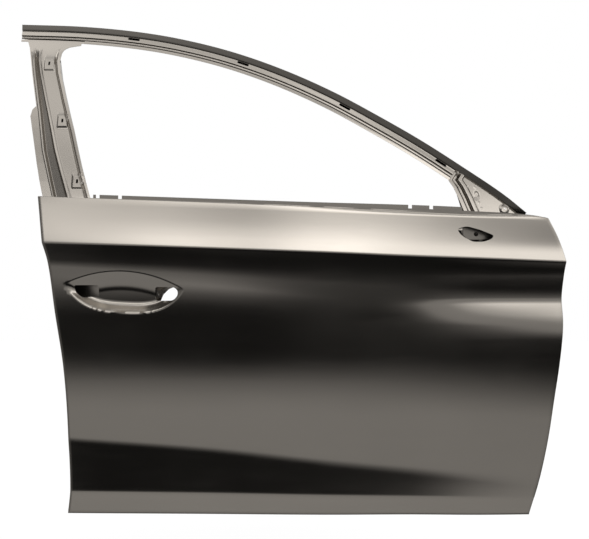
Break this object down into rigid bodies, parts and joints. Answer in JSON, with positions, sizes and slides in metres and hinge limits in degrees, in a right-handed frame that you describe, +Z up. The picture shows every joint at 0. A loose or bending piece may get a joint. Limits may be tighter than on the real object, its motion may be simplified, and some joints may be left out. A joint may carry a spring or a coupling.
{
  "type": "car door shell",
  "caption": "Bare pressed-steel shell of a front car door: hemmed outer skin with a handle recess and mirror opening, inner panel, window frame and side impact beam.",
  "frame": {"origin": "centre of the upper hinge's mounting face on the front shut face", "axes": "+X towards the front of the car, +Y inboard, +Z up; the outer skin faces -Y"},
  "size_m": [1.2367, 0.264, 1.1154],
  "materials": {
    "e_coat": "satin black electro-dipped primer",
    "bare_steel": "plain steel",
    "mastic": "matt baked mastic",
    "damping": "matt damping sheet"
  },
  "bodies": {
    "root": {"outer_skin": "e_coat", "inner_panel": "e_coat", "roof_rail_outer": "e_coat", "roof_rail_inner": "e_coat", "b_pillar_outer": "e_coat", "b_pillar_inner": "e_coat", "b_pillar_gusset": "e_coat", "mirror_sail_outer": "e_coat", "mirror_sail_inner": "e_coat", "mirror_bracket": "e_coat", "belt_reinforcement_outer": "e_coat", "belt_reinforcement_inner": "e_coat", "impact_beam": "e_coat", "impact_beam_bracket_front": "e_coat", "impact_beam_bracket_rear": "e_coat", "hinge_reinforcement_upper": "e_coat", "hinge_reinforcement_lower": "e_coat", "hinge_nut_upper_top": "bare_steel", "hinge_nut_upper_bottom": "bare_steel", "hinge_nut_lower_top": "bare_steel", "hinge_nut_lower_bottom": "bare_steel", "check_strap_reinforcement": "e_coat", "check_nut_outboard": "bare_steel", "check_nut_inboard": "bare_steel", "lock_reinforcement": "e_coat", "handle_bracket": "e_coat", "glass_guide_rear": "e_coat", "glass_guide_rear_foot": "e_coat", "glass_guide_front": "e_coat", "glass_guide_front_foot": "e_coat", "mastic_pad_1": "mastic", "mastic_pad_2": "mastic", "mastic_pad_3": "mastic", "damping_patch": "damping"}
  },
  "joints": []
}
